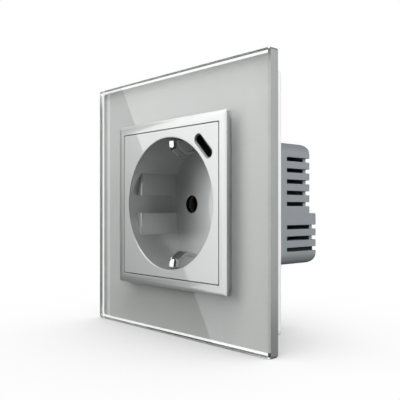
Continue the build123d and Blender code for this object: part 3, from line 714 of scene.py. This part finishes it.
def floor_material():
    """White light of the strength 1 - depth times hidden squared, never below 0, where hidden
    is the share of the dome above that the object covers. From the near distance to the far
    one, measured from the middle, it passes into plain white."""
    material, tree, shader = new_material("studio_floor")
    tree.nodes.remove(shader)
    dome = tree.nodes.new("ShaderNodeAmbientOcclusion")
    dome.samples = DOME_SAMPLES
    dome.inputs["Distance"].default_value = DOME_REACH
    hidden = calculate(tree, "SUBTRACT", 1.0, dome.outputs["AO"])
    shade = tree.nodes.new("ShaderNodeMapRange")
    shade.inputs["From Max"].default_value = 1 / SHADOW_DEPTH
    shade.inputs["To Min"].default_value = 1.0
    shade.inputs["To Max"].default_value = 0.0
    tree.links.new(calculate(tree, "POWER", hidden, SHADOW_POWER), shade.inputs["Value"])
    length = tree.nodes.new("ShaderNodeVectorMath")
    length.operation = "LENGTH"
    tree.links.new(own_place(tree), length.inputs[0])
    fade = tree.nodes.new("ShaderNodeMapRange")
    fade.interpolation_type = "SMOOTHSTEP"
    fade.inputs["From Min"].default_value = FADE_NEAR
    fade.inputs["From Max"].default_value = FADE_FAR
    tree.links.new(length.outputs["Value"], fade.inputs["Value"])
    shaded = tree.nodes.new("ShaderNodeEmission")
    tree.links.new(shade.outputs["Result"], shaded.inputs["Strength"])
    plain = tree.nodes.new("ShaderNodeEmission")
    whole = blend(tree, fade.outputs["Result"], shaded.outputs[0], plain.outputs[0])
    tree.links.new(whole, tree.nodes["Material Output"].inputs["Surface"])
    return material


floor_mesh.materials.append(floor_material())
print("shadow fades out at", FADE_FAR, "m")

# %% [markdown]
# The sky
#
# The ground in the photo is pure white, but a sky of that strength would light the object far
# too much. So the sky is white for the camera alone, straight or through clear glass, and a
# plain soft light for all else. Light that a matte surface has spread, like that of the paint,
# counts as all else: it has bounced once or more, so its count of bounces isn't below a half.

# %% Sky
SKY_STRENGTH = 0.055
WHITE = (1, 1, 1, 1)
HALF_A_BOUNCE = 0.5


def sky(strength):
    """White where seen = 1, a light of the strength elsewhere. Seen is the larger of camera
    ray, and transmission ray times not yet spread by a matte surface."""
    world = bpy.data.worlds.new("sky")
    world.use_nodes = True
    tree = world.node_tree
    soft = tree.nodes["Background"]
    soft.inputs["Color"].default_value = WHITE
    soft.inputs["Strength"].default_value = strength
    white = tree.nodes.new("ShaderNodeBackground")
    white.inputs["Color"].default_value = WHITE
    path = tree.nodes.new("ShaderNodeLightPath").outputs
    unspread = calculate(tree, "LESS_THAN", path["Diffuse Depth"], HALF_A_BOUNCE)
    through = calculate(tree, "MULTIPLY", path["Is Transmission Ray"], unspread)
    seen = calculate(tree, "MAXIMUM", path["Is Camera Ray"], through)
    whole = blend(tree, seen, soft.outputs[0], white.outputs[0])
    tree.links.new(whole, tree.nodes["World Output"].inputs["Surface"])
    bpy.context.scene.world = world
    print("sky strength", strength)


sky(SKY_STRENGTH)

# %% [markdown]
# Where the main lamp must stand
#
# Glass and insert both mirror a straight edge that leans to the right going down, with the
# brighter side on the right. It is the edge of the main lamp, a large soft box on the left in
# front. Its place follows from the mirror law: the line of sight through two pixels of that
# edge is turned back at the front of the glass, and the lamp's edge passes through both of
# the turned lines.

# %% Edge of the main lamp
LINE_TOP = (124.4, 95.0)
LINE_BOTTOM = (210.0, 338.0)
LAMP_DISTANCE = 0.6


def unit(vector):
    """The vector divided by its length."""
    return vector / np.linalg.norm(vector)


def sight(pixel):
    """Direction through a pixel = ahead + across times right - down times up, all over its
    length, with across and down counted in focal lengths."""
    across = (pixel[0] - IMAGE_SIDE / 2) / FOCAL_PIXELS
    down = (pixel[1] - HORIZON_ROW) / FOCAL_PIXELS
    ahead = np.array((-math.sin(CAMERA_TURN), math.cos(CAMERA_TURN), 0.0))
    right = np.array((math.cos(CAMERA_TURN), math.sin(CAMERA_TURN), 0.0))
    return unit(ahead + across * right - down * UP)


def mirrored_point(pixel):
    """The line of sight meets the front of the glass at touch = camera + reach x direction,
    and goes on from there for one lamp distance with the Y part of its direction reversed."""
    direction = sight(pixel)
    reach = (glass_low.y - CAMERA_PLACE[1]) / direction[1]
    touch = CAMERA_PLACE + reach * direction
    return touch + LAMP_DISTANCE * direction * np.array((1, -1, 1))


edge_top = mirrored_point(LINE_TOP)
edge_bottom = mirrored_point(LINE_BOTTOM)
print("lamp edge from", np.round(edge_bottom, 3), "to", np.round(edge_top, 3))

# %% [markdown]
# The main lamp
#
# From that edge the lamp reaches round to the front, which leaves the left wall of the recess
# dark and throws the shadow of the insert to the right. Lamps are given by their radiance, the
# brightness of their face, so that their size can change without making a mirror image of
# them brighter. The power is radiance times pi times the area.

# %% Main lamp
MAIN_WIDTH = 0.45
MAIN_HEIGHT = 0.9
MAIN_LIFT = 0.1
MAIN_RADIANCE = 1.8


def box_lamp(name, middle, across, up, width, height, radiance):
    """A rectangular lamp with its width along across and its height along up. It shines along
    its own -Z, so its back, across x up, has to point away from the object in the middle."""
    data = bpy.data.lights.new(name, "AREA")
    data.shape = "RECTANGLE"
    data.size = width
    data.size_y = height
    data.energy = radiance * math.pi * width * height
    lamp = bpy.data.objects.new(name, data)
    back = np.cross(across, up)
    if np.dot(back, middle) < 0:
        across, back = -across, -back
    turn = np.eye(4)
    turn[:3, 0], turn[:3, 1], turn[:3, 2], turn[:3, 3] = across, up, back, middle
    lamp.matrix_world = turn.T.tolist()
    bpy.context.scene.collection.objects.link(lamp)
    print(name, "at", np.round(middle, 3))
    return lamp


edge_up = unit(edge_top - edge_bottom)
edge_middle = (edge_top + edge_bottom) / 2
sideways = unit(np.cross(edge_up, edge_middle))
if sideways[0] < 0:
    sideways = -sideways
main_middle = edge_middle + sideways * MAIN_WIDTH / 2 + edge_up * MAIN_LIFT
box_lamp("main_lamp", main_middle, sideways, edge_up, MAIN_WIDTH, MAIN_HEIGHT, MAIN_RADIANCE)

# %% [markdown]
# The other lamps
#
# The front is clearly brighter at the top than at the bottom, which only a near light does, so
# a small lamp hangs close above it, outside the picture. One at the right behind the object
# lights the side of the box in the wall and the white frame.

# %% Other lamps
TOP_PLACE = np.array((0, -0.055, 0.12))
TOP_WIDTH, TOP_HEIGHT, TOP_RADIANCE = 0.12, 0.10, 2.9
SIDE_PLACE = np.array((0.8, 0.45, 0.15))
SIDE_WIDTH, SIDE_HEIGHT, SIDE_RADIANCE = 0.6, 0.8, 6.8
top_lamp = box_lamp("top_lamp", TOP_PLACE, RIGHT, INWARD, TOP_WIDTH, TOP_HEIGHT,
                    TOP_RADIANCE)
top_lamp.visible_camera = False
side_across = unit(np.cross(UP, SIDE_PLACE))
side_up = np.cross(unit(SIDE_PLACE), side_across)
box_lamp("side_lamp", SIDE_PLACE, side_across, side_up, SIDE_WIDTH, SIDE_HEIGHT, SIDE_RADIANCE)

# %% [markdown]
# The last step
#
# The picture uses plain colours with no film curve.

# %% Finish
bpy.context.scene.view_settings.view_transform = "Standard"
